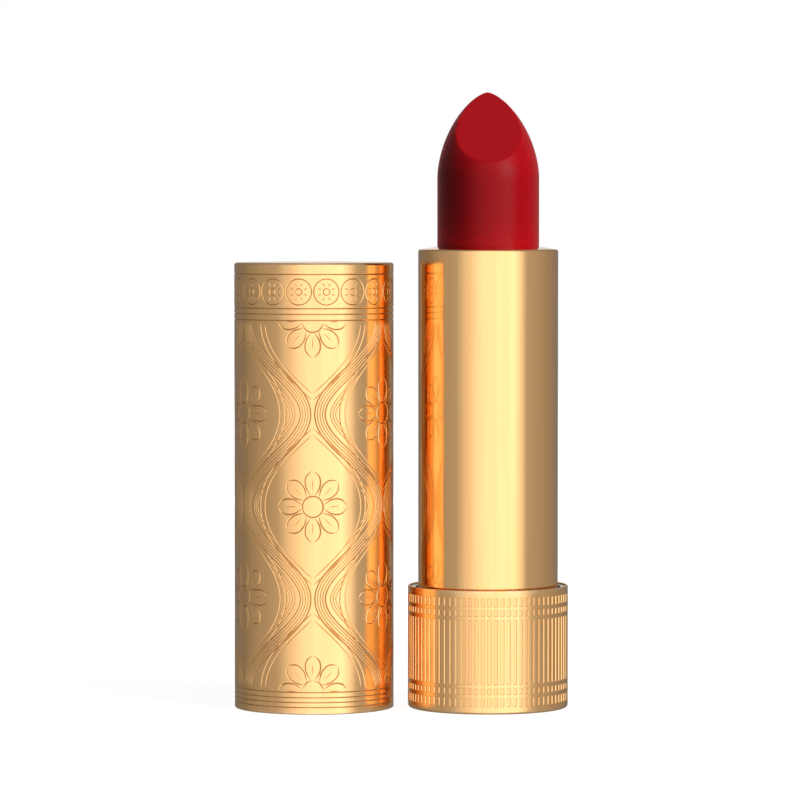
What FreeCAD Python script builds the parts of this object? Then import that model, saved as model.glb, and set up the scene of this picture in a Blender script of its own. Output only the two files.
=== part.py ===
"""Lipstick case with its cap off: a twist-up base and, beside it, the cap standing on its mouth.

Millimetres, +Z up. The origin is on the table, on the axis of the base. The bullet is wound all
the way up. Turning the sleeve by a positive angle about +Z winds it down.
"""

import FreeCAD, Part
import math
import os

# Fits
SLIP = 0.03                 # parts of one body that are pressed or glued together
RUNNING = 0.05              # radial clearance between parts that turn or slide on each other
GAP = 0.30                  # open gap round the sleeve

# Base
BASE_R = 10.0
BASE_H = 15.3
SHELL_WALL = 0.25
FLOOR_Z = 0.30              # underside of the floor, recessed above the ring that the base stands on
FLOOR_T = 0.40
FOOT_R_IN = 7.6
LABEL_T = 0.12
WEIGHT_T = 3.55
WEB_T = 1.2
COLLAR_H = 2.5

# Mechanism
SLEEVE_R = 8.74
SLEEVE_WALL = 0.44
SLEEVE_Z = 7.0
SLEEVE_TOP = 57.53
SHOULDER_DROP = 0.33        # the top of the sleeve rises this much from its shoulder to its mouth
MOUTH_R = 6.65
GUIDE_R_IN = 6.90
GUIDE_R = 7.40
GUIDE_TOP = 56.3
SPIRAL_TOP = 55.8
GROOVE_R = 8.0
GROOVE_H = 2.3
SLOT_W = 2.0
LEAD = 15.0                 # travel of the cup for each full turn of the sleeve
TRAVEL = 22.5               # one and a half turns
BEAD_Z = 9.0                # snap bead that holds the spiral on the guide
BRAKE_Z = 11.5
BRAKE_WIRE_R = 0.17

# Cup and bullet, wound up
CUP_Z = 45.9
CUP_H = 10.0
CUP_FLOOR = 1.0
LUG_R = 0.9
LUG_Z = 47.4
LUG_REACH = 7.9
BULLET_R = 6.35
TIP_Z = 76.9
NOSE_H = 10.8
TIP_BACK = 4.6              # the tip stands this far behind the axis
LIP_DROP = 8.8              # the front edge of the slanted face lies this far below the tip

# Cap
CAP_X = -21.73
CAP_R = 9.94
CAP_H = 55.6
CAP_WALL = 0.40
CAP_TOP_T = 0.50
LINER_WALL = 0.45
LINER_Z = 0.6
ROOF_Z = 44.0
ROOF_T = 1.0
LEDGE_T = 1.0
CAP_WEIGHT_T = 5.1
RIB_COUNT = 6
RIB_W = 0.8
RIB_H = 8.0
RIB_R_IN = 8.8


def vector(x, y, z):
    return FreeCAD.Vector(x, y, z)


def rounded_outline(corners):
    """Closed wire in the XZ plane through (radius, height) or (radius, height, rounding) corners."""
    points = [vector(c[0], 0, c[1]) for c in corners]
    starts, ends, arcs = [], [], []
    for i, corner in enumerate(corners):
        here = points[i]
        to_last = (points[i - 1] - here).normalize()
        to_next = (points[(i + 1) % len(points)] - here).normalize()
        rounding = corner[2] if len(corner) > 2 else 0
        if not rounding:
            starts.append(here)
            ends.append(here)
            continue
        half = to_last.getAngle(to_next) / 2
        setback = rounding / math.tan(half)
        middle = (to_last + to_next).normalize() * (rounding / math.sin(half) - rounding)
        starts.append(here + to_last * setback)
        ends.append(here + to_next * setback)
        arcs.append(Part.Arc(starts[-1], here + middle, ends[-1]).toShape())
    lines = []
    for i, end in enumerate(ends):
        start = starts[(i + 1) % len(starts)]
        lines.append(Part.LineSegment(end, start).toShape())
    return Part.Wire(Part.__sortEdges__(lines + arcs))


def turned(corners, centre_x=0):
    """Solid of revolution about a vertical axis."""
    face = Part.Face(rounded_outline(corners))
    solid = face.revolve(vector(0, 0, 0), vector(0, 0, 1), 360)
    solid.translate(vector(centre_x, 0, 0))
    return solid


def disc(radius, low, thickness, centre_x=0, edge=0):
    high = low + thickness
    return turned([(0, low), (radius, low, edge), (radius, high, edge), (0, high)], centre_x)


def radial_block(r_in, r_out, width, low, high, azimuth):
    """Box that runs outward from the axis at an azimuth in degrees."""
    block = Part.makeBox(r_out - r_in, width, high - low, vector(r_in, -width / 2, low))
    block.rotate(vector(0, 0, 0), vector(0, 0, 1), azimuth)
    return block


def radial_pin(radius, r_in, r_out, height, azimuth):
    pin = Part.makeCylinder(radius, r_out - r_in, vector(r_in, 0, height), vector(1, 0, 0))
    pin.rotate(vector(0, 0, 0), vector(0, 0, 1), azimuth)
    return pin


def base_shell():
    """Drawn metal cup with a standing ring round a recessed floor."""
    r_in = BASE_R - SHELL_WALL
    floor_top = FLOOR_Z + FLOOR_T
    return turned([
        (0, FLOOR_Z), (FOOT_R_IN, FLOOR_Z), (FOOT_R_IN, 0), (BASE_R, 0, 0.4),
        (BASE_R, BASE_H, 0.1), (r_in, BASE_H, 0.1), (r_in, floor_top), (0, floor_top),
    ])


def shade_label():
    """Blank round sticker on the recessed floor."""
    return disc(FOOT_R_IN - GAP, FLOOR_Z - LABEL_T, LABEL_T)


SKIRT_R = BASE_R - SHELL_WALL - SLIP
SKIRT_R_IN = SLEEVE_R + GAP
SKIRT_Z = FLOOR_Z + FLOOR_T + RUNNING
WEB_Z = SKIRT_Z + WEIGHT_T + 0.1
WEB_TOP = WEB_Z + WEB_T
FLANGE_R = 8.1
FLANGE_T = 1.0
SPIGOT_R = 6.4
SPIGOT_R_IN = 5.4
COLLAR_TOP = BASE_H - 0.2


def base_weight():
    """Steel slug that makes the base heavy, shut in under the insert."""
    return disc(SKIRT_R_IN - RUNNING, SKIRT_Z, WEIGHT_T, edge=0.3)


def base_insert():
    """Moulded insert: a skirt pressed into the shell and a web that seats the guide tube."""
    top = COLLAR_TOP - COLLAR_H - SLIP
    ledge = WEB_TOP + FLANGE_T
    return turned([
        (SPIGOT_R + SLIP, WEB_Z), (SKIRT_R_IN, WEB_Z), (SKIRT_R_IN, SKIRT_Z), (SKIRT_R, SKIRT_Z),
        (SKIRT_R, top), (SKIRT_R_IN, top), (SKIRT_R_IN, ledge), (FLANGE_R + SLIP, ledge),
        (FLANGE_R + SLIP, WEB_TOP), (SPIGOT_R + SLIP, WEB_TOP),
    ])


def collar_ring():
    """Bright ring that closes the mouth of the base round the sleeve."""
    low = COLLAR_TOP - COLLAR_H
    return turned([
        (SKIRT_R_IN, low), (SKIRT_R, low), (SKIRT_R, COLLAR_TOP, 0.12),
        (SKIRT_R_IN, COLLAR_TOP, 0.12),
    ])


def guide_tube():
    """Fixed inner tube whose two straight slots keep the cup from turning."""
    foot_z = WEB_Z + 0.1
    flange_top = WEB_TOP + FLANGE_T
    bead_low, bead_high = BEAD_Z - 0.4, BEAD_Z + 0.4
    brake_low, brake_high = BRAKE_Z - 0.3, BRAKE_Z + 0.3
    bead_r, brake_r = GUIDE_R - 0.25, GUIDE_R - 0.34
    tube = turned([
        (SPIGOT_R_IN, foot_z), (SPIGOT_R, foot_z, 0.2), (SPIGOT_R, WEB_TOP), (FLANGE_R, WEB_TOP),
        (FLANGE_R, flange_top), (GUIDE_R, flange_top),
        (GUIDE_R, bead_low), (bead_r, bead_low), (bead_r, bead_high), (GUIDE_R, bead_high),
        (GUIDE_R, brake_low), (brake_r, brake_low), (brake_r, brake_high), (GUIDE_R, brake_high),
        (GUIDE_R, GUIDE_TOP, 0.15), (GUIDE_R_IN, GUIDE_TOP, 0.15),
        (GUIDE_R_IN, flange_top), (SPIGOT_R_IN, flange_top),
    ])
    low, high = LUG_Z - TRAVEL - 0.1, LUG_Z + 0.1
    for azimuth in (0, 180):
        slot = radial_block(GUIDE_R_IN - 1, GUIDE_R + 1, SLOT_W, low, high, azimuth)
        for end in (low, high):
            slot = slot.fuse(radial_pin(SLOT_W / 2, GUIDE_R_IN - 1, GUIDE_R + 1, end, azimuth))
        tube = tube.cut(slot)
    return tube


def brake_ring():
    """Soft ring in a groove of the guide tube that rubs on the spiral, so that the bullet stays put."""
    return Part.makeTorus(GUIDE_R - BRAKE_WIRE_R + 0.02, BRAKE_WIRE_R, vector(0, 0, BRAKE_Z))


def sleeve():
    """Bright outer tube, drawn in at the top to a mouth that just clears the bullet."""
    r_in = SLEEVE_R - SLEEVE_WALL
    lip_z = SLEEVE_TOP - 0.5
    return turned([
        (r_in, SLEEVE_Z), (SLEEVE_R, SLEEVE_Z, 0.1), (SLEEVE_R, SLEEVE_TOP - SHOULDER_DROP, 0.3),
        (MOUTH_R, SLEEVE_TOP, 0.12), (MOUTH_R, lip_z), (r_in, lip_z),
    ])


def spiral_groove(azimuth):
    """Cutter for one start: a right-handed helical groove with an entry channel below it."""
    r_low = GUIDE_R + RUNNING - 0.3
    low = LUG_Z - TRAVEL
    corners = [(r_low, -GROOVE_H / 2), (GROOVE_R, -GROOVE_H / 2),
               (GROOVE_R, GROOVE_H / 2), (r_low, GROOVE_H / 2)]
    section = Part.makePolygon([vector(r, 0, z) for r, z in corners + corners[:1]])
    sweep = Part.BRepOffsetAPI.MakePipeShell(Part.makeHelix(LEAD, TRAVEL, GROOVE_R))
    sweep.setBiNormalMode(vector(0, 0, 1))
    sweep.add(section)
    sweep.build()
    sweep.makeSolid()
    groove = sweep.shape()
    groove.translate(vector(0, 0, low))
    groove.rotate(vector(0, 0, 0), vector(0, 0, 1), azimuth + 180)
    run = radial_block(r_low, GROOVE_R, GROOVE_H, SLEEVE_Z - 1, low, azimuth + 180)
    start = radial_pin(GROOVE_H / 2, r_low, GROOVE_R, low, azimuth + 180)
    finish = radial_pin(GROOVE_H / 2, r_low, GROOVE_R, LUG_Z, azimuth)
    return groove, run, start, finish


def spiral_tube():
    """Moulded tube fixed in the sleeve, with two helical grooves inside that drive the lugs."""
    r_out = SLEEVE_R - SLEEVE_WALL - SLIP
    r_in = GUIDE_R + RUNNING
    bead_r = GUIDE_R - 0.15
    tube = turned([
        (r_in, SLEEVE_Z, 0.1), (r_out, SLEEVE_Z), (r_out, SPIRAL_TOP), (r_in, SPIRAL_TOP),
        (r_in, BEAD_Z + 0.3), (bead_r, BEAD_Z + 0.2), (bead_r, BEAD_Z - 0.2), (r_in, BEAD_Z - 0.3),
    ])
    for azimuth in (0, 180):
        for cutter in spiral_groove(azimuth):
            tube = tube.cut(cutter)
    return tube


def bullet_cup():
    """Cup that holds the bullet, with two lugs through the guide's slots into the spiral."""
    r_out = GUIDE_R_IN - RUNNING
    r_in = BULLET_R + SLIP
    cup = turned([
        (1.5, CUP_Z), (r_out, CUP_Z, 0.3), (r_out, CUP_Z + CUP_H), (r_in, CUP_Z + CUP_H),
        (r_in, CUP_Z + CUP_FLOOR), (1.5, CUP_Z + CUP_FLOOR),
    ])
    for azimuth in (0, 180):
        cup = cup.fuse(radial_pin(LUG_R, r_in + 0.2, LUG_REACH, LUG_Z, azimuth))
    return cup.removeSplitter()


def nose_radius(drop):
    """Radius of the round section of the nose, a distance below the tip."""
    rise = 1 - drop / NOSE_H
    return BULLET_R * (1 - rise ** 1.8) ** 0.66


def nose_centre(drop):
    """How far the centre of that section lies behind the axis."""
    return TIP_BACK * (1 - drop / NOSE_H) ** 2


def lipstick_bullet():
    """Round stick whose nose leans back to a tip, cut by a slanted flat face at the front."""
    low = CUP_Z + CUP_FLOOR + RUNNING
    stick = Part.makeCylinder(BULLET_R, TIP_Z - NOSE_H - low, vector(0, 0, low))
    sections = []
    count = 14
    for i in range(count + 1):
        drop = NOSE_H * (1 - 0.997 * (i / count) ** 0.6)
        centre = vector(0, nose_centre(drop), TIP_Z - drop)
        sections.append(Part.Wire(Part.makeCircle(nose_radius(drop), centre)))
    body = stick.fuse(Part.makeLoft(sections, True)).removeSplitter()
    lip_y = nose_centre(LIP_DROP) - nose_radius(LIP_DROP)
    slope = math.degrees(math.atan2(LIP_DROP, TIP_BACK - lip_y))
    reach = 40
    above = Part.makeBox(reach, reach, reach, vector(-reach / 2, -reach / 2, 0))
    above.rotate(vector(0, 0, 0), vector(1, 0, 0), slope)
    above.translate(vector(0, TIP_BACK, TIP_Z))
    return body.cut(above)


def cap_shell():
    """Drawn metal cap, closed at the top."""
    r_in = CAP_R - CAP_WALL
    under = CAP_H - CAP_TOP_T
    return turned([
        (r_in, 0), (CAP_R, 0, 0.2), (CAP_R, CAP_H, 0.38), (0, CAP_H), (0, under), (r_in, under),
    ], CAP_X)


LINER_R = CAP_R - CAP_WALL - RUNNING
LINER_R_IN = LINER_R - LINER_WALL
WEIGHT_TOP = CAP_H - CAP_TOP_T - RUNNING
LEDGE_TOP = WEIGHT_TOP - CAP_WEIGHT_T - SLIP


def cap_liner():
    """Moulded liner with a roof over the bullet, a ledge for the weight and ribs that grip the sleeve."""
    ledge_r = LINER_R_IN - 0.65
    ledge_low = LEDGE_TOP - LEDGE_T
    liner = turned([
        (LINER_R_IN, LINER_Z, 0.15), (LINER_R, LINER_Z), (LINER_R, WEIGHT_TOP),
        (LINER_R_IN, WEIGHT_TOP), (LINER_R_IN, LEDGE_TOP), (ledge_r, LEDGE_TOP),
        (ledge_r, ledge_low), (LINER_R_IN, ledge_low), (LINER_R_IN, ROOF_Z + ROOF_T),
        (0, ROOF_Z + ROOF_T), (0, ROOF_Z), (LINER_R_IN, ROOF_Z),
    ])
    rib_z = LINER_Z + 0.6
    for i in range(RIB_COUNT):
        azimuth = 360 * i / RIB_COUNT
        rib = radial_block(RIB_R_IN, LINER_R_IN + 0.2, RIB_W, rib_z, rib_z + RIB_H, azimuth)
        liner = liner.fuse(rib)
    liner = liner.removeSplitter()
    liner.translate(vector(CAP_X, 0, 0))
    return liner


def cap_weight():
    """Steel slug under the cap's top."""
    low = WEIGHT_TOP - CAP_WEIGHT_T
    return disc(LINER_R_IN - SLIP, low, CAP_WEIGHT_T, CAP_X, 0.3)


NODES = {
    "base_shell": base_shell,
    "shade_label": shade_label,
    "base_weight": base_weight,
    "base_insert": base_insert,
    "collar_ring": collar_ring,
    "guide_tube": guide_tube,
    "brake_ring": brake_ring,
    "sleeve": sleeve,
    "spiral_tube": spiral_tube,
    "bullet_cup": bullet_cup,
    "lipstick_bullet": lipstick_bullet,
    "cap_shell": cap_shell,
    "cap_liner": cap_liner,
    "cap_weight": cap_weight,
}

os.makedirs("parts", exist_ok=True)
for name, make in NODES.items():
    shape = make()
    shape.exportStep(f"parts/{name}.step")
    print(name, shape.isValid(), len(shape.Solids), round(shape.Volume, 2))
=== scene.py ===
import math

import bpy
import numpy as np
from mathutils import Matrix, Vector
from mathutils.geometry import delaunay_2d_cdt
from mathutils.kdtree import KDTree


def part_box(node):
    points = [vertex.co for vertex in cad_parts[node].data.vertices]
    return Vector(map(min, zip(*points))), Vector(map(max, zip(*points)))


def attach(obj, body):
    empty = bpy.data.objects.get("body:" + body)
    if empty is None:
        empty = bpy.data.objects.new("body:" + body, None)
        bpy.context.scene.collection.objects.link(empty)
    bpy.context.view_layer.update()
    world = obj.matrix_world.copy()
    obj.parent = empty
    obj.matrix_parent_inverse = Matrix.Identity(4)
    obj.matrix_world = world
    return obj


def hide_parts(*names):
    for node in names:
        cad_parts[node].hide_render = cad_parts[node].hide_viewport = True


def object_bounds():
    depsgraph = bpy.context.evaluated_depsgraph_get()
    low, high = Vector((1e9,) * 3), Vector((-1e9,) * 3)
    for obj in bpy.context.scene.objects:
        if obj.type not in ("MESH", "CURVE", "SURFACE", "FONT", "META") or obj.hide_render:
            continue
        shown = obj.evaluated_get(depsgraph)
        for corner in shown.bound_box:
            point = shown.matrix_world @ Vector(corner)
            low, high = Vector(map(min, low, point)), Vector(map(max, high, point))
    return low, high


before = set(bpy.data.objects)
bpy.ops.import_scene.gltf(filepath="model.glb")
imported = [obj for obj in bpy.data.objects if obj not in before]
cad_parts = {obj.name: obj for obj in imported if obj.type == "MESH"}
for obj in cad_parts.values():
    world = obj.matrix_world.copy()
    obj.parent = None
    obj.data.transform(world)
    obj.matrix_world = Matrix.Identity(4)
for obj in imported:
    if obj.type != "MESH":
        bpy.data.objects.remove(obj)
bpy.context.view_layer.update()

MM = 0.001
COLUMNS = 144          # columns round the cap: 2.5 degrees each
FLUTES = 78            # columns of recesses round the base
PANELS = 3             # the cap's ornament repeats this many times
RINGS = 18             # rings in the cap's top band
PETALS = 8             # in a daisy, and rays in a rosette
FIELD = (2.9, 48.4)    # heights on the cap that the lattice fills
BORDERS = (0.9, 1.5, 2.1, 2.75, 48.55, 49.3)   # heights of the level cuts below and above it
BAND = (50.0, 54.2)    # heights of the level cuts round the rings
RING_HEIGHT = 52.05
LINE_GAP = 0.33        # between the lines of a lattice ribbon
NECK = 0.91            # half the distance between two ribbons where they come closest
LINE_STEP = 0.32       # how far apart the cap's lines are sampled
BROAD, MEDIUM, FINE = 0.110, 0.092, 0.076      # half widths of the cap's cuts
CUT_SLOPE = 0.86       # how steep the sides of a cut are
WEAR_HEIGHT = 0.0005   # metres of a rim that show wear


# ---------------------------------------------------------------- places from the frame

class Place:
    """Axis, radius and height range of a round CAD node, in millimetres."""

    def __init__(self, node):
        low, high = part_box(node)
        self.x = (low.x + high.x) / 2 / MM
        self.y = (low.y + high.y) / 2 / MM
        self.r = (high.x - low.x) / 2 / MM
        self.low = low.z / MM
        self.high = high.z / MM


# ---------------------------------------------------------------- meshes

class Build:
    """Collects triangles and quads with a normal and a groove depth at each corner, in millimetres."""

    def __init__(self):
        self.points, self.faces, self.normals, self.grooves = [], [], [], []

    def add(self, points, faces, normals, grooves=None):
        """points: list of xyz. faces: lists of indices into it. normals: one list of xyz per face."""
        start = len(self.points)
        self.points.extend(points)
        self.grooves.extend(grooves if grooves is not None else [0.0] * len(points))
        self.faces.extend([[start + i for i in face] for face in faces])
        self.normals.extend(normals)

    def make(self, name):
        """Joins points that coincide and makes the mesh object."""
        points = np.array(self.points)
        keys = np.round(points / MM + 0.37).astype(np.int64)
        _, first, inverse = np.unique(keys, axis=0, return_index=True, return_inverse=True)
        inverse = inverse.ravel()
        faces, normals = [], []
        for face, face_normals in zip(self.faces, self.normals):
            corners = [(int(inverse[i]), n) for i, n in zip(face, face_normals)]
            kept = [c for k, c in enumerate(corners) if c[0] != corners[k - 1][0]]
            if len(kept) > 2:
                faces.append([c[0] for c in kept])
                normals.extend(c[1] for c in kept)
        mesh = bpy.data.meshes.new(name)
        mesh.from_pydata((points[first] * MM).tolist(), [], faces)
        mesh.polygons.foreach_set("use_smooth", [True] * len(mesh.polygons))
        # The groove depth is kept for the materials, which use it to paint shade into the cuts.
        groove = mesh.attributes.new("groove", "FLOAT", "POINT")
        groove.data.foreach_set("value", np.array(self.grooves, dtype=np.float32)[first])
        mesh.normals_split_custom_set(normals)
        mesh.update()
        piece = bpy.data.objects.new(name, mesh)
        bpy.context.scene.collection.objects.link(piece)
        return piece


def outline_runs(corners, closed=True, steps=8):
    """Smooth runs of (radius, height, normal) along (radius, height, rounding) corners.

    The corners go round the section with the solid on the left.
    """
    count = len(corners)
    rounded = []
    for i, corner in enumerate(corners):
        here = np.array(corner[:2], float)
        rounding = corner[2] if len(corner) > 2 else 0.0
        if not rounding:
            rounded.append((here, here, None))
            continue
        to_last = np.array(corners[i - 1][:2], float) - here
        to_next = np.array(corners[(i + 1) % count][:2], float) - here
        to_last /= np.linalg.norm(to_last)
        to_next /= np.linalg.norm(to_next)
        half = math.acos(np.clip(to_last @ to_next, -1, 1)) / 2
        setback = rounding / math.tan(half)
        middle = to_last + to_next
        centre = here + middle / np.linalg.norm(middle) * rounding / math.sin(half)
        start, end = here + to_last * setback, here + to_next * setback
        a0 = math.atan2(*(start - centre)[::-1])
        a1 = math.atan2(*(end - centre)[::-1])
        turn = (a1 - a0 + math.pi) % (2 * math.pi) - math.pi
        convex = turn > 0
        run = []
        for k in range(steps + 1):
            a = a0 + turn * k / steps
            out = np.array([math.cos(a), math.sin(a)])
            run.append((*(centre + out * rounding), *(out if convex else -out)))
        rounded.append((start, end, run))
    runs = []
    for i, (_, end, run) in enumerate(rounded):
        if run:
            runs.append(run)
        if not closed and i == count - 1:
            break
        start = rounded[(i + 1) % count][0]
        along = start - end
        length = np.linalg.norm(along)
        if length < 1e-9:
            continue
        normal = (along[1] / length, -along[0] / length)
        runs.append([(*end, *normal), (*start, *normal)])
    return runs


def turn_section(build, place, runs, columns):
    """Adds the surface that the runs sweep round the place's axis."""
    angles = [2 * math.pi * (j % columns) / columns for j in range(columns + 1)]
    for run in runs:
        for (r0, z0, nr0, nz0), (r1, z1, nr1, nz1) in zip(run, run[1:]):
            if r0 < 1e-9 and r1 < 1e-9:
                continue
            for a, b in zip(angles, angles[1:]):
                sa, ca, sb, cb = math.sin(a), math.cos(a), math.sin(b), math.cos(b)
                points = [
                    (place.x + r0 * sa, place.y - r0 * ca, z0), (place.x + r0 * sb, place.y - r0 * cb, z0),
                    (place.x + r1 * sb, place.y - r1 * cb, z1), (place.x + r1 * sa, place.y - r1 * ca, z1),
                ]
                normals = [
                    (nr0 * sa, -nr0 * ca, nz0), (nr0 * sb, -nr0 * cb, nz0),
                    (nr1 * sb, -nr1 * cb, nz1), (nr1 * sa, -nr1 * ca, nz1),
                ]
                build.add(points, [[0, 1, 2, 3]], [normals])


def outer_wall(run, radius):
    """True for the straight upright run at the full radius, which the relief takes the place of."""
    return len(run) == 2 and all(abs(r - radius) < 1e-9 for r, *_ in run)


# ---------------------------------------------------------------- relief on a round wall

def smooth_line(points, step):
    """Catmull-Rom curve through points, sampled at about an even step."""
    p = np.array(points, float)
    if len(p) == 2:
        dense = np.linspace(p[0], p[1], 200)
    else:
        ends = np.vstack([2 * p[0] - p[1], p, 2 * p[-1] - p[-2]])
        t = np.linspace(0, 1, 60, endpoint=False)[:, None]
        spans = []
        for a, b, c, d in zip(ends, ends[1:], ends[2:], ends[3:]):
            spans.append(0.5 * (2 * b + (c - a) * t + (2 * a - 5 * b + 4 * c - d) * t ** 2
                                + (3 * b - a - 3 * c + d) * t ** 3))
        dense = np.vstack(spans + [p[-1:]])
    lengths = np.r_[0, np.cumsum(np.linalg.norm(np.diff(dense, axis=0), axis=1))]
    count = max(2, int(round(lengths[-1] / step)) + 1)
    at = np.linspace(0, lengths[-1], count)
    return np.column_stack([np.interp(at, lengths, dense[:, k]) for k in range(2)])


class Engraving:
    """V-shaped cuts in a flat rectangle that is later wrapped round a cylinder.

    Across the rectangle runs the arc length in millimetres, and up it the height. A cut's depth is
    slope times its half width.
    """

    def __init__(self, width, low, high, columns, slope=0.0):
        self.width, self.low, self.high = width, low, high
        self.columns, self.slope = columns, slope
        self.points, self.edges = [], []
        self.middles, self.spans = [], []

    def constrain(self, line):
        start = len(self.points)
        self.points.extend(Vector(map(float, p)) for p in line)
        self.edges.extend((start + i, start + i + 1) for i in range(len(line) - 1))

    def cut(self, line, half_width, taper=0.9):
        """One cut along a sampled line. It narrows to nothing over the taper at each end."""
        line = np.asarray(line, float)
        closed = np.linalg.norm(line[0] - line[-1]) < 1e-6
        direction = np.gradient(line, axis=0)
        if closed:
            direction[0] = direction[-1] = line[1] - line[-2]
        direction /= np.linalg.norm(direction, axis=1)[:, None]
        side = np.column_stack([-direction[:, 1], direction[:, 0]])
        travel = np.r_[0, np.cumsum(np.linalg.norm(np.diff(line, axis=0), axis=1))]
        ease = np.ones(len(line))
        if not closed and taper:
            ease = np.clip(np.minimum(travel, travel[-1] - travel) / taper, 0, 1) ** 0.6
        half = half_width * ease
        near = (line[:, 0] > -self.width) & (line[:, 0] < self.width)
        if not near.any():
            return
        self.constrain(line)
        self.constrain(line + side * half[:, None])
        self.constrain(line - side * half[:, None])
        for a, b, ha, hb in zip(line, line[1:], half, half[1:]):
            self.middles.append((a + b) / 2)
            self.spans.append((*a, *b, ha, hb))

    def level(self, height, half_width):
        """A cut that runs level all the way across."""
        line = [(x, height) for x in self.column_places()]
        self.cut(line, half_width, taper=0)

    def column_places(self):
        return np.linspace(-self.width / 2, self.width / 2, self.columns + 1)

    def depth_at(self, tree, x, z):
        deepest = 0.0
        for _, index, distance in tree.find_n((x, z, 0), 10):
            if distance > 0.6:
                break
            ax, az, bx, bz, ha, hb = self.spans[index]
            dx, dz = bx - ax, bz - az
            t = min(1.0, max(0.0, ((x - ax) * dx + (z - az) * dz) / (dx * dx + dz * dz)))
            off = math.hypot(x - ax - dx * t, z - az - dz * t)
            half = ha + (hb - ha) * t
            if off < half * 0.985:
                deepest = max(deepest, self.slope * (half - off))
        return deepest

    def mesh(self, rows):
        """Points (arc, height, depth) and triangles of the rectangle."""
        across = self.column_places()
        half = self.width / 2
        heights = np.linspace(self.low, self.high, rows + 1)
        border = [(x, self.low) for x in across] + [(half, z) for z in heights[1:]]
        border += [(x, self.high) for x in across[::-1][1:]] + [(-half, z) for z in heights[::-1][1:]]
        self.constrain(border)
        self.points.extend(Vector((float(x), float(z))) for x in across[1:-1] for z in heights[1:-1])
        flat, _, triangles, *_ = delaunay_2d_cdt(self.points, self.edges, [], 0, 1e-5)
        tree = KDTree(len(self.middles))
        for i, (x, z) in enumerate(self.middles):
            tree.insert((x, z, 0), i)
        tree.balance()
        slack = 1e-4
        kept = []
        for triangle in triangles:
            x = sum(flat[i].x for i in triangle) / 3
            z = sum(flat[i].y for i in triangle) / 3
            if abs(x) < half and self.low < z < self.high:
                kept.append(list(triangle))
        used = sorted({i for triangle in kept for i in triangle})
        where = {old: new for new, old in enumerate(used)}
        points = []
        for i in used:
            x, z = flat[i]
            edge = abs(z - self.low) < slack or abs(z - self.high) < slack
            points.append((x, z, 0.0 if edge else self.depth_at(tree, x, z)))
        return points, [[where[i] for i in triangle] for triangle in kept]


def wrap(build, place, points, triangles, turns, lip=0.5):
    """Wraps a relief panel round the place's axis, once for each turn in degrees."""
    relief = np.array(points)
    depth = relief[:, 2]
    deepest = depth.max() or 1.0
    flat_faces = np.array(triangles)
    for degrees in turns:
        angle = relief[:, 0] / place.r + math.radians(degrees)
        out = np.column_stack([np.sin(angle), -np.cos(angle), np.zeros(len(angle))])
        where = out * (place.r - depth)[:, None]
        where += np.array([place.x, place.y, 0.0])
        where[:, 2] = relief[:, 1]
        a, b, c = (where[flat_faces[:, k]] for k in range(3))
        normal = np.cross(b - a, c - a)
        outward = out[flat_faces].mean(axis=1)
        flip = (normal * outward).sum(axis=1) < 0
        faces = flat_faces.copy()
        faces[flip] = faces[flip][:, ::-1]
        normal[flip] *= -1
        normal /= np.maximum(np.linalg.norm(normal, axis=1), 1e-12)[:, None]
        corner_depth = depth[faces]
        cut = corner_depth.max(axis=1) > 1e-6
        level = corner_depth.min(axis=1) > deepest * 0.98
        corner_normal = out[faces]
        share = np.where(corner_depth > 1e-6, 1.0, lip)[:, :, None]
        tilted = corner_normal * (1 - share) + normal[:, None, :] * share
        tilted /= np.maximum(np.linalg.norm(tilted, axis=2), 1e-12)[:, :, None]
        sloped = cut & ~level
        corner_normal[sloped] = tilted[sloped]
        build.add(where.tolist(), faces.tolist(), corner_normal.tolist(), (depth / deepest).tolist())


# ---------------------------------------------------------------- the cap

def inside(line, low, high):
    """The stretches of a line whose heights lie between two levels."""
    runs, run = [], []
    for point in line:
        if low <= point[1] <= high:
            run.append(point)
        elif run:
            runs.append(run)
            run = []
    runs.append(run)
    return [np.array(points) for points in runs if len(points) > 2]


def beside(line, offset):
    """A line that runs beside another at an even distance."""
    along = np.gradient(line, axis=0)
    along /= np.linalg.norm(along, axis=1)[:, None]
    return line + offset * np.column_stack([along[:, 1], -along[:, 0]])


def daisy(middle, step):
    """A ring with eight round petals and a vein in each."""
    ring, tip = 1.3, 4.5
    around = np.linspace(0, 2 * math.pi, 33)
    lines = [(middle + ring * np.column_stack([np.sin(around), np.cos(around)]), BROAD)]
    petal, vein = [(ring, 0.22), (2.5, 0.9), (3.7, 0.84), (tip, 0.0)], [(1.9, 0.0), (3.5, 0.0)]
    for turn in range(PETALS):
        a = 2 * math.pi * turn / PETALS
        c, s = math.cos(a), math.sin(a)
        for points, flip, half_width in ((petal, 1, BROAD), (petal, -1, BROAD), (vein, 1, FINE)):
            turned = [(middle[0] + u * c - flip * v * s, middle[1] + u * s + flip * v * c) for u, v in points]
            lines.append((smooth_line(turned, step), half_width))
    return lines


def cell_lines(middle, step):
    """A daisy framed by two pointed ovals."""
    lines = daisy(middle, step)
    for wide, tall, half_width in ((7.0, 9.7, MEDIUM), (6.3, 8.9, FINE)):
        for side in (-1, 1):
            oval = [(middle[0] + side * wide * math.cos(math.pi * k / 16), middle[1] + tall * k / 8)
                    for k in range(-8, 9)]
            lines.append((smooth_line(oval, step), half_width))
    return lines


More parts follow.
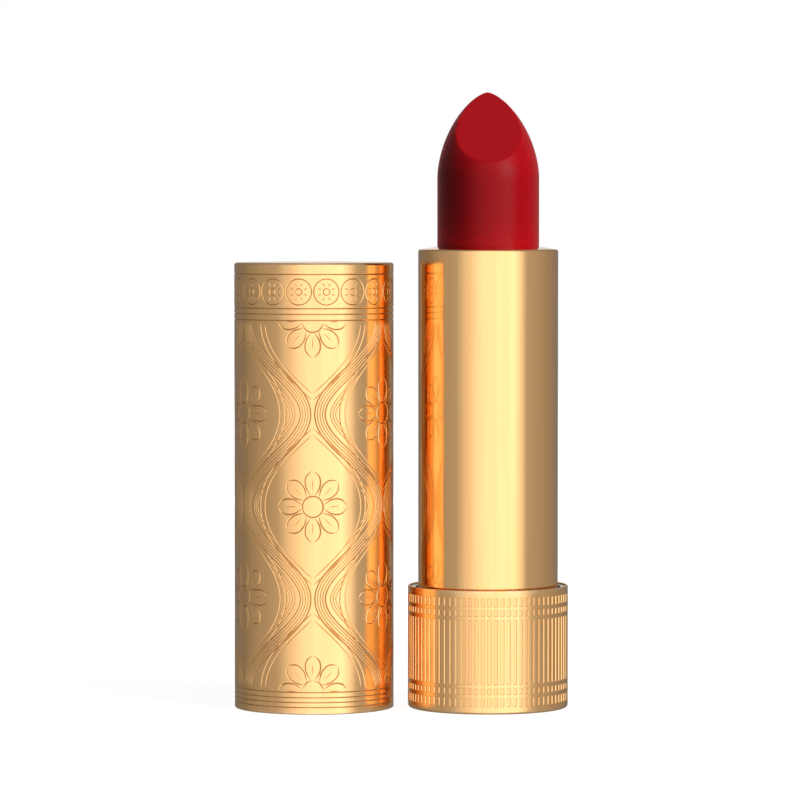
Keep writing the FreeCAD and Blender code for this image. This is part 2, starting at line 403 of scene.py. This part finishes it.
def panel_lines(width, low, high, step):
    """All lines of one panel, an ogee lattice with a daisy in each cell: each curve and its half width."""
    middle, wave = (low + high) / 2, (high - low) / 2
    sway = width / 4 - NECK
    heights = np.arange(low - 1, high + 1, step)
    swing = width / 4 + sway * np.cos(2 * math.pi * (heights - middle) / wave)
    lines = []
    for side in (-1, 1):
        centre = np.column_stack([side * swing, heights])
        lines += [(beside(centre, LINE_GAP * k), BROAD if abs(k) == 2 else FINE) for k in range(-2, 3)]
        for k, reach in ((4, 0.27), (5, 0.22), (6, 0.16)):
            for offset, level in ((-k, 0.0), (k, -0.5), (k, 0.5)):
                near = abs(heights - middle - level * wave) < reach * wave
                lines.append((beside(centre[near], side * LINE_GAP * offset), FINE))
    cells = [(0, middle), (0, low), (0, high)]
    cells += [(width / 2, middle - wave / 2), (width / 2, middle + wave / 2)]
    for cell in cells:
        lines += cell_lines(np.array(cell), step)
    return [(run, half_width) for line, half_width in lines for run in inside(line, low, high)]


def cut_panel(place, low, high):
    """Engraves one panel of the cap's main ornament."""
    width = 2 * math.pi * place.r / PANELS
    panel = Engraving(width, low, high, COLUMNS // PANELS, CUT_SLOPE)
    for line, half_width in panel_lines(width, *FIELD, LINE_STEP):
        for shift in (-width, 0, width):
            moved = line + (shift, 0)
            if moved[:, 0].max() > -width / 2 and moved[:, 0].min() < width / 2:
                panel.cut(moved, half_width)
    for height in BORDERS:
        panel.level(height, MEDIUM)
    return panel.mesh(28)


def cut_rosette(place, low, high):
    """Engraves one ring and its rosette from the band under the cap's top."""
    width = 2 * math.pi * place.r / RINGS
    band = Engraving(width, low, high, COLUMNS // RINGS, CUT_SLOPE)
    middle = RING_HEIGHT
    for radius, samples, half_width in ((1.6, 41, MEDIUM), (0.42, 17, FINE)):
        around = np.linspace(0, 2 * math.pi, samples)
        circle = np.column_stack([radius * np.sin(around), middle + radius * np.cos(around)])
        band.cut(circle, half_width)
    for k in range(PETALS):
        a = 2 * math.pi * (k + 0.5) / PETALS
        ray = [(r * math.sin(a), middle + r * math.cos(a)) for r in (0.62, 1.22)]
        band.cut(smooth_line(ray, 0.2), FINE, taper=0.2)
    for height in BAND:
        band.level(height, MEDIUM)
    return band.mesh(4)


def make_cap():
    place = Place("cap_shell")
    wall, roof, foot_round, top_round = 0.4, 0.5, 0.2, 0.38
    foot, split, crown = place.low + foot_round, 49.6, place.high - top_round
    build = Build()
    wrap(build, place, *cut_panel(place, foot, split), [360 * k / PANELS for k in range(PANELS)])
    wrap(build, place, *cut_rosette(place, split, crown), [360 * (k + 0.5) / RINGS for k in range(RINGS)])
    under, inside = place.high - roof, place.r - wall
    runs = outline_runs([(0, under), (inside, under), (inside, place.low), (place.r, place.low, foot_round),
                         (place.r, place.high, top_round), (0, place.high)], closed=False)
    turn_section(build, place, [run for run in runs if not outer_wall(run, place.r)], COLUMNS)
    cap = build.make("cap_body")
    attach(cap, "cap")
    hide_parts("cap_shell")
    return cap


# ---------------------------------------------------------------- the base

def rounded_cell(half_width, low, high, rounding, inset):
    """Closed outline of one recess, as (arc, height)."""
    half_width, low, high = half_width - inset, low + inset, high - inset
    rounding = max(rounding - inset, 0.02)
    points = []
    for cx, cz, start in ((1, 1, 0), (-1, 1, 90), (-1, -1, 180), (1, -1, 270)):
        x = cx * (half_width - rounding)
        z = (high if cz > 0 else low) - cz * rounding
        for k in range(5):
            a = math.radians(start + 22.5 * k)
            points.append((x + rounding * math.cos(a), z + rounding * math.sin(a)))
    return points + points[:1]


def make_base():
    place = Place("base_shell")
    build = Build()
    foot, rim = place.low + 0.4, place.high - 0.1
    width = 2 * math.pi * place.r / FLUTES
    depth, slope, half_cell = 0.12, 0.055, 0.25
    rows = [(0.95, 2.05), (2.45, 3.28), (3.68, 11.70), (12.10, 12.91), (13.28, 14.40)]
    panel = Engraving(width, foot, rim, 2)
    floors = []
    for low, high in rows:
        panel.constrain(rounded_cell(half_cell, low, high, 0.13, 0))
        floor = rounded_cell(half_cell, low, high, 0.13, slope)
        panel.constrain(floor)
        floors.append((half_cell - slope, low + slope, high - slope))
    half = width / 2
    border = [(-half, foot), (0, foot), (half, foot), (half, rim), (0, rim), (-half, rim), (-half, foot)]
    panel.constrain(border)
    flat, _, triangles, *_ = delaunay_2d_cdt(panel.points, panel.edges, [], 0, 1e-5)
    points = []
    for x, z in flat:
        sunk = any(abs(x) <= hw + 1e-4 and low - 1e-4 <= z <= high + 1e-4 for hw, low, high in floors)
        points.append((x, z, depth if sunk else 0.0))
    wrap(build, place, points, [list(t) for t in triangles], [360 * k / FLUTES for k in range(FLUTES)])

    wall = place.r - 0.25
    floor_z, floor_top, foot_r = place.low + 0.3, place.low + 0.7, 7.6
    runs = outline_runs([(0, floor_z), (foot_r, floor_z), (foot_r, place.low), (place.r, place.low, 0.4),
                         (place.r, place.high, 0.1), (wall, place.high, 0.1), (wall, floor_top),
                         (0, floor_top)], closed=False)
    turn_section(build, place, [run for run in runs if not outer_wall(run, place.r)], 2 * FLUTES)
    base = build.make("base_body")
    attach(base, "base")
    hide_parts("base_shell")
    return base


# ---------------------------------------------------------------- the sleeve

def make_sleeve():
    place = Place("sleeve")
    mouth, wall, drop = 6.65, 0.44, 0.33
    top = place.high
    inner = place.r - wall
    build = Build()
    runs = outline_runs([
        (inner, place.low), (place.r, place.low, 0.1), (place.r, top - drop, 0.32),
        (mouth, top, 0.12), (mouth, top - 0.5), (inner, top - 0.5)], steps=10)
    turn_section(build, place, runs, 192)
    sleeve = build.make("sleeve_tube")
    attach(sleeve, "sleeve")
    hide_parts("sleeve")
    return sleeve


# ---------------------------------------------------------------- the bullet

def make_bullet():
    place = Place("lipstick_bullet")
    radius = place.r
    nose, tip_back, lip_drop = 10.8, 4.6, 8.8
    tip = place.high

    def nose_radius(drop):
        return radius * (1 - (1 - min(drop / nose, 1)) ** 1.8) ** 0.66

    def nose_centre(drop):
        return tip_back * (1 - min(drop / nose, 1)) ** 2

    lip_y = nose_centre(lip_drop) - nose_radius(lip_drop)
    slope = (tip_back - lip_y) / lip_drop
    drops = [nose * (k / 110) ** 1.35 for k in range(1, 111)]
    straight = tip - nose - place.low
    drops += [nose + straight * k / 12 for k in range(1, 13)]
    around, soften = 192, 0.13
    rings = []
    for drop in drops:
        ring = []
        for j in range(around):
            a = 2 * math.pi * j / around
            x = nose_radius(drop) * math.sin(a)
            y = nose_centre(drop) - nose_radius(drop) * math.cos(a)
            face = tip_back - slope * drop
            near = max(soften - abs(y - face), 0) / soften
            y = max(y, face) + near * near * soften / 4
            ring.append((place.x + x, place.y + min(y, radius), tip - drop))
        rings.append(ring)
    points = [(place.x, place.y + tip_back, tip - 0.01)] + [p for ring in rings for p in ring]
    faces = [[0, 1 + j, 1 + (j + 1) % around] for j in range(around)]
    for i in range(len(rings) - 1):
        for j in range(around):
            k = (j + 1) % around
            faces.append([1 + i * around + j, 1 + (i + 1) * around + j,
                          1 + (i + 1) * around + k, 1 + i * around + k])
    last = 1 + (len(rings) - 1) * around
    faces.append([last + j for j in range(around)])
    mesh = bpy.data.meshes.new("bullet_stick")
    mesh.from_pydata((np.array(points) * MM).tolist(), [], faces)
    mesh.polygons.foreach_set("use_smooth", [True] * len(mesh.polygons))
    mesh.update()
    piece = bpy.data.objects.new("bullet_stick", mesh)
    bpy.context.scene.collection.objects.link(piece)
    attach(piece, "carrier")
    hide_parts("lipstick_bullet")
    return piece


# ---------------------------------------------------------------- materials

def new_material(name):
    material = bpy.data.materials.new(name)
    material.use_nodes = True
    nodes, links = material.node_tree.nodes, material.node_tree.links
    return material, nodes, links, nodes["Principled BSDF"]


def noise(nodes, links, scale, stretch=(1, 1, 1), detail=3.0):
    """Noise on the object's own coordinates, stretched per axis."""
    where = nodes.new("ShaderNodeTexCoord")
    mapping = nodes.new("ShaderNodeMapping")
    mapping.inputs["Scale"].default_value = stretch
    texture = nodes.new("ShaderNodeTexNoise")
    texture.inputs["Scale"].default_value = scale
    texture.inputs["Detail"].default_value = detail
    links.new(where.outputs["Object"], mapping.inputs["Vector"])
    links.new(mapping.outputs["Vector"], texture.inputs["Vector"])
    return texture.outputs["Fac"]


def ramp(nodes, links, source, stops):
    """Colour ramp from (position, colour) stops."""
    node = nodes.new("ShaderNodeValToRGB")
    elements = node.color_ramp.elements
    while len(elements) < len(stops):
        elements.new(0.5)
    for element, (position, colour) in zip(elements, stops):
        element.position = position
        element.color = colour if len(colour) == 4 else (*colour, 1)
    links.new(source, node.inputs["Fac"])
    return node.outputs["Color"]


def spread_value(nodes, links, source, low, high):
    node = nodes.new("ShaderNodeMapRange")
    node.inputs["To Min"].default_value = low
    node.inputs["To Max"].default_value = high
    links.new(source, node.inputs["Value"])
    return node.outputs["Result"]


def bump(nodes, links, source, strength, distance, shader):
    node = nodes.new("ShaderNodeBump")
    node.inputs["Strength"].default_value = strength
    node.inputs["Distance"].default_value = distance
    links.new(source, node.inputs["Height"])
    links.new(node.outputs["Normal"], shader.inputs["Normal"])


def edge_wear(nodes, links, rims, axis, radius):
    """1 on the worn patches along a round piece's outer rims, and 0 elsewhere. All sizes are in metres."""
    where = nodes.new("ShaderNodeTexCoord")
    split = nodes.new("ShaderNodeSeparateXYZ")
    links.new(where.outputs["Object"], split.inputs["Vector"])
    gaps = []
    for rim in rims:
        away = nodes.new("ShaderNodeMath")
        away.operation = "SUBTRACT"
        away.inputs[1].default_value = rim
        links.new(split.outputs["Z"], away.inputs[0])
        gap = nodes.new("ShaderNodeMath")
        gap.operation = "ABSOLUTE"
        links.new(away.outputs["Value"], gap.inputs[0])
        gaps.append(gap.outputs["Value"])
    nearest = nodes.new("ShaderNodeMath")
    nearest.operation = "MINIMUM"
    links.new(gaps[0], nearest.inputs[0])
    links.new(gaps[-1], nearest.inputs[1])
    close = nodes.new("ShaderNodeMapRange")
    close.inputs["From Max"].default_value = WEAR_HEIGHT
    close.inputs["To Min"].default_value = 1.0
    close.inputs["To Max"].default_value = 0.0
    links.new(nearest.outputs["Value"], close.inputs["Value"])
    outward = nodes.new("ShaderNodeVectorMath")
    outward.operation = "MULTIPLY_ADD"
    outward.inputs[1].default_value = (1, 1, 0)
    outward.inputs[2].default_value = (-axis[0], -axis[1], 0)
    links.new(where.outputs["Object"], outward.inputs[0])
    reach = nodes.new("ShaderNodeVectorMath")
    reach.operation = "LENGTH"
    links.new(outward.outputs["Vector"], reach.inputs[0])
    outer = nodes.new("ShaderNodeMapRange")
    outer.inputs["From Min"].default_value = radius - WEAR_HEIGHT
    outer.inputs["From Max"].default_value = radius - WEAR_HEIGHT / 2
    links.new(reach.outputs["Value"], outer.inputs["Value"])
    edge = nodes.new("ShaderNodeMath")
    edge.operation = "MULTIPLY"
    links.new(close.outputs["Result"], edge.inputs[0])
    links.new(outer.outputs["Result"], edge.inputs[1])
    patches = nodes.new("ShaderNodeMapRange")
    patches.inputs["From Min"].default_value = 0.46
    patches.inputs["From Max"].default_value = 0.60
    links.new(noise(nodes, links, 1300, detail=4.0), patches.inputs["Value"])
    worn = nodes.new("ShaderNodeMath")
    worn.operation = "MULTIPLY"
    links.new(edge.outputs["Value"], worn.inputs[0])
    links.new(patches.outputs["Result"], worn.inputs[1])
    return worn.outputs["Value"]


def gold(name, colour, roughness, streak, grooves, piece):
    """Warm gold plating with fine upright brushing, soft streaks, worn rims and painted shade darkening any
    cuts.
    """
    material, nodes, links, shader = new_material(name)
    shader.inputs["Metallic"].default_value = 1.0
    clouds = noise(nodes, links, 900, stretch=(1, 1, 0.03), detail=5.0)
    brushing = noise(nodes, links, 5200, stretch=(1, 1, 0.012), detail=4.0)
    deep = tuple(c * k for c, k in zip(colour, (0.955, 0.93, 0.88)))
    tone = ramp(nodes, links, clouds, [(0.35, deep), (0.65, colour)])
    # Painted shade: the deeper a point lies in a cut, the more its colour turns dark brown, standing in for
    # shade inside the cut.
    if grooves:
        depth = nodes.new("ShaderNodeAttribute")
        depth.attribute_name = "groove"
        shade = nodes.new("ShaderNodeMix")
        shade.data_type = "RGBA"
        shade.inputs["B"].default_value = (*(c * k for c, k in zip(colour, (0.50, 0.40, 0.30))), 1)
        groove_shade_amount = spread_value(nodes, links, depth.outputs["Fac"], 0.0, grooves)
        links.new(groove_shade_amount, shade.inputs["Factor"])
        links.new(tone, shade.inputs["A"])
        tone = shade.outputs["Result"]
    wear = edge_wear(nodes, links, *rim_places(piece))
    rubbed = nodes.new("ShaderNodeMix")
    rubbed.data_type = "RGBA"
    rubbed.inputs["B"].default_value = (*(0.70 * c + 0.24 for c in colour), 1)
    links.new(wear, rubbed.inputs["Factor"])
    links.new(tone, rubbed.inputs["A"])
    links.new(rubbed.outputs["Result"], shader.inputs["Base Color"])
    rougher = nodes.new("ShaderNodeMath")
    rougher.operation = "MULTIPLY_ADD"
    rougher.inputs[1].default_value = 0.14
    links.new(wear, rougher.inputs[0])
    links.new(spread_value(nodes, links, brushing, roughness - 0.035, roughness + 0.045), rougher.inputs[2])
    links.new(rougher.outputs["Value"], shader.inputs["Roughness"])
    bump(nodes, links, brushing, streak, 0.00002, shader)
    return material


def rim_places(piece):
    """A round piece's lowest and highest heights, its axis and its radius, in metres."""
    places = np.array([vertex.co for vertex in piece.data.vertices])
    low, high = places.min(axis=0), places.max(axis=0)
    middle = (low + high) / 2
    return (low[2], high[2]), (middle[0], middle[1]), (high[1] - low[1]) / 2


def wax():
    """Satin lipstick: deep red, with a faint skin and a soft sheen."""
    material, nodes, links, shader = new_material("lip_wax")
    skin = noise(nodes, links, 900, detail=5.0)
    tone = ramp(nodes, links, skin, [(0.3, (0.56, 0.0010, 0.006)), (0.7, (0.61, 0.0014, 0.008))])
    links.new(tone, shader.inputs["Base Color"])
    links.new(spread_value(nodes, links, skin, 0.25, 0.31), shader.inputs["Roughness"])
    shader.inputs["Specular IOR Level"].default_value = 0.14
    bump(nodes, links, skin, 0.10, 0.00003, shader)
    return material


def moulded(name, colour, roughness, shine=0.5):
    """Injection-moulded plastic with a fine eggshell texture."""
    material, nodes, links, shader = new_material(name)
    grain = noise(nodes, links, 3000, detail=3.0)
    darker = tuple(c * 0.88 for c in colour)
    links.new(ramp(nodes, links, grain, [(0.35, darker), (0.65, colour)]), shader.inputs["Base Color"])
    links.new(spread_value(nodes, links, grain, roughness - 0.06, roughness + 0.06), shader.inputs["Roughness"])
    shader.inputs["Specular IOR Level"].default_value = shine
    bump(nodes, links, grain, 0.2, 0.00003, shader)
    return material


def plain_metal(name, colour, roughness):
    """Turned metal with fine level tool lines."""
    material, nodes, links, shader = new_material(name)
    shader.inputs["Metallic"].default_value = 1.0
    lines = noise(nodes, links, 4000, stretch=(0.02, 0.02, 1), detail=3.0)
    darker = tuple(c * 0.85 for c in colour)
    links.new(ramp(nodes, links, lines, [(0.35, darker), (0.65, colour)]), shader.inputs["Base Color"])
    links.new(spread_value(nodes, links, lines, roughness - 0.05, roughness + 0.08), shader.inputs["Roughness"])
    bump(nodes, links, lines, 0.15, 0.00002, shader)
    return material


def paper():
    """Blank coated label with a little fibre."""
    material, nodes, links, shader = new_material("label_paper")
    fibre = noise(nodes, links, 1500, stretch=(1, 0.4, 1), detail=5.0)
    links.new(ramp(nodes, links, fibre, [(0.3, (0.78, 0.76, 0.71)), (0.7, (0.86, 0.84, 0.80))]),
              shader.inputs["Base Color"])
    links.new(spread_value(nodes, links, fibre, 0.5, 0.65), shader.inputs["Roughness"])
    bump(nodes, links, fibre, 0.15, 0.00002, shader)
    return material


def dress(piece, material):
    piece.data.materials.clear()
    piece.data.materials.append(material)


# ---------------------------------------------------------------- studio

def make_world():
    """White to the camera, a grey studio to what is glossy, and a little fill to the rest."""
    world = bpy.data.worlds.new("studio")
    bpy.context.scene.world = world
    world.use_nodes = True
    nodes, links = world.node_tree.nodes, world.node_tree.links
    nodes.clear()
    where = nodes.new("ShaderNodeTexCoord")
    split = nodes.new("ShaderNodeSeparateXYZ")
    links.new(where.outputs["Generated"], split.inputs["Vector"])
    minus = nodes.new("ShaderNodeMath")
    minus.operation = "MULTIPLY"
    minus.inputs[1].default_value = -1.0
    links.new(split.outputs["Y"], minus.inputs[0])
    azimuth = nodes.new("ShaderNodeMath")
    azimuth.operation = "ARCTAN2"
    links.new(split.outputs["X"], azimuth.inputs[0])
    links.new(minus.outputs["Value"], azimuth.inputs[1])
    turn = nodes.new("ShaderNodeMapRange")
    turn.inputs["From Min"].default_value = -math.pi
    turn.inputs["From Max"].default_value = math.pi
    links.new(azimuth.outputs["Value"], turn.inputs["Value"])
    stops = [(-180, 0.9), (-166, 0.20), (-118, 0.26), (-84, 0.42), (-40, 0.54), (60, 0.54), (110, 0.38),
             (166, 0.20), (180, 0.9)]
    colour = ramp(nodes, links, turn.outputs["Result"], [((a + 180) / 360, (v, v, v)) for a, v in stops])
    studio = nodes.new("ShaderNodeBackground")
    links.new(colour, studio.inputs["Color"])
    ambient = nodes.new("ShaderNodeBackground")
    ambient.inputs["Color"].default_value = (1, 1, 1, 1)
    ambient.inputs["Strength"].default_value = 0.018
    white = nodes.new("ShaderNodeBackground")
    white.inputs["Color"].default_value = (1, 1, 1, 1)
    ray = nodes.new("ShaderNodeLightPath")
    glossy = nodes.new("ShaderNodeMixShader")
    links.new(ray.outputs["Is Glossy Ray"], glossy.inputs[0])
    links.new(ambient.outputs["Background"], glossy.inputs[1])
    links.new(studio.outputs["Background"], glossy.inputs[2])
    seen = nodes.new("ShaderNodeMixShader")
    links.new(ray.outputs["Is Camera Ray"], seen.inputs[0])
    links.new(glossy.outputs["Shader"], seen.inputs[1])
    links.new(white.outputs["Background"], seen.inputs[2])
    output = nodes.new("ShaderNodeOutputWorld")
    links.new(seen.outputs["Shader"], output.inputs["Surface"])


def area_light(name, azimuth, elevation, distance, size, radiance):
    """A soft box round the object, unseen by the camera and in gloss.

    azimuth 0 is the front and 90 the right, in degrees.
    """
    a, e = math.radians(azimuth), math.radians(elevation)
    where = Vector((math.sin(a) * math.cos(e), -math.cos(a) * math.cos(e), math.sin(e))) * distance
    data = bpy.data.lights.new(name, "AREA")
    data.shape = "RECTANGLE"
    data.size, data.size_y = size
    data.energy = radiance * math.pi * size[0] * size[1]
    light = bpy.data.objects.new(name, data)
    light.location = where + Vector((0, 0, 0.038))
    light.rotation_mode = "QUATERNION"
    light.rotation_quaternion = (-where).to_track_quat("-Z", "Y")
    light.visible_camera = False
    light.visible_glossy = False
    bpy.context.scene.collection.objects.link(light)
    return light


def grade_card(light, stops):
    """Lets a soft box show in the gloss of every piece, brighter and darker across its width.

    stops: (place across the card, brightness).
    """
    light.visible_glossy = True
    light.data.use_nodes = True
    nodes, links = light.data.node_tree.nodes, light.data.node_tree.links
    point = nodes.new("ShaderNodeNewGeometry")
    split = nodes.new("ShaderNodeSeparateXYZ")
    links.new(point.outputs["Position"], split.inputs["Vector"])
    reach = light.data.size / 2 * math.cos(math.atan2(light.location.x, -light.location.y))
    across = nodes.new("ShaderNodeMapRange")
    across.inputs["From Min"].default_value = light.location.x - reach
    across.inputs["From Max"].default_value = light.location.x + reach
    links.new(split.outputs["X"], across.inputs["Value"])
    grade = ramp(nodes, links, across.outputs["Result"], [(at, (v, v, v)) for at, v in stops])
    links.new(grade, nodes["Emission"].inputs["Color"])


def make_floor():
    """A pale floor that glows a little more further out, so that no horizon shows."""
    mesh = bpy.data.meshes.new("floor")
    reach = 4.0
    mesh.from_pydata([(-reach, -reach, 0), (reach, -reach, 0), (reach, reach, 0), (-reach, reach, 0)],
                     [], [[0, 1, 2, 3]])
    floor = bpy.data.objects.new("floor", mesh)
    floor.location.z = -0.00002
    bpy.context.scene.collection.objects.link(floor)
    material, nodes, links, shader = new_material("pale_floor")
    shader.inputs["Base Color"].default_value = (0.25, 0.25, 0.25, 1)
    shader.inputs["Roughness"].default_value = 0.9
    shader.inputs["Specular IOR Level"].default_value = 0.0
    shader.inputs["Emission Color"].default_value = (1, 1, 1, 1)
    where = nodes.new("ShaderNodeTexCoord")
    away = nodes.new("ShaderNodeVectorMath")
    away.operation = "LENGTH"
    links.new(where.outputs["Object"], away.inputs[0])
    glow = nodes.new("ShaderNodeMapRange")
    glow.inputs["From Min"].default_value = 0.04
    glow.inputs["From Max"].default_value = 0.22
    glow.inputs["To Min"].default_value = 0.90
    glow.inputs["To Max"].default_value = 1.02
    links.new(away.outputs["Value"], glow.inputs["Value"])
    links.new(glow.outputs["Result"], shader.inputs["Emission Strength"])
    dress(floor, material)
    floor.visible_glossy = False
    floor.visible_diffuse = False
    floor.visible_shadow = False


def make_camera():
    """A long lens a little above the object's middle, looking slightly down."""
    distance, eye_height, aim_height, aside = 0.580, 0.062, 0.0384, 0.00016
    low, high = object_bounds()
    data = bpy.data.cameras.new("camera")
    data.sensor_width = 36
    data.lens = 209.2
    data.clip_start, data.clip_end = 0.01, 20
    camera = bpy.data.objects.new("camera", data)
    bpy.context.scene.collection.objects.link(camera)
    bpy.context.scene.camera = camera
    across = (low.x + high.x) / 2 - aside
    eye = Vector((across, -distance, eye_height))
    aim = Vector((across, 0, aim_height))
    camera.location = eye
    camera.rotation_mode = "QUATERNION"
    camera.rotation_quaternion = (aim - eye).to_track_quat("-Z", "Y")


make_camera()
make_world()
make_floor()
bpy.context.scene.view_settings.view_transform = "Standard"

GOLD = (0.97, 0.58, 0.255)
cap = make_cap()
# gold()'s fifth argument sets how strongly the cuts get painted shade: strong on the cap, faint in the base's
# recesses.
dress(cap, gold("cap_gold", GOLD, 0.17, 0.10, 0.75, cap))
base = make_base()
dress(base, gold("base_gold", GOLD, 0.22, 0.10, 0.12, base))
sleeve = make_sleeve()
dress(sleeve, gold("sleeve_gold", GOLD, 0.12, 0.12, 0, sleeve))
bullet = make_bullet()
dress(bullet, wax())

NODE_LOOKS = {
    "collar_ring": plain_metal("collar_metal", (0.62, 0.61, 0.58), 0.22),
    "base_weight": plain_metal("slug_steel", (0.56, 0.57, 0.58), 0.35),
    "cap_weight": plain_metal("cap_slug_steel", (0.56, 0.57, 0.58), 0.35),
    "shade_label": paper(),
    "base_insert": moulded("insert_plastic", (0.03, 0.03, 0.03), 0.45),
    "guide_tube": moulded("guide_plastic", (0.80, 0.78, 0.72), 0.30),
    "spiral_tube": moulded("spiral_plastic", (0.72, 0.70, 0.64), 0.30),
    "brake_ring": moulded("brake_rubber", (0.06, 0.06, 0.06), 0.75, 0.3),
    "bullet_cup": moulded("cup_plastic", (0.80, 0.76, 0.66), 0.28),
    "cap_liner": moulded("liner_plastic", (0.03, 0.03, 0.03), 0.45),
}
for node, material in NODE_LOOKS.items():
    dress(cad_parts[node], material)

area_light("top_light", 10, 78, 1.6, (1.6, 1.6), 0.30)
area_light("side_light", 50, 30, 0.9, (0.5, 0.8), 5.4)
area_light("back_light", 200, 20, 0.9, (0.25, 0.4), 14.0)
SOFT_BOX = [(0.0, 0.0), (0.14, 0.14), (0.30, 0.45), (0.42, 0.80), (0.60, 0.92), (0.72, 1.0), (0.86, 0.42),
            (1.0, 0.0)]
key_light = area_light("key_light", 5, 0, 1.0, (3.4, 2.4), 1.15)
key_light.visible_diffuse = False
grade_card(key_light, SOFT_BOX)
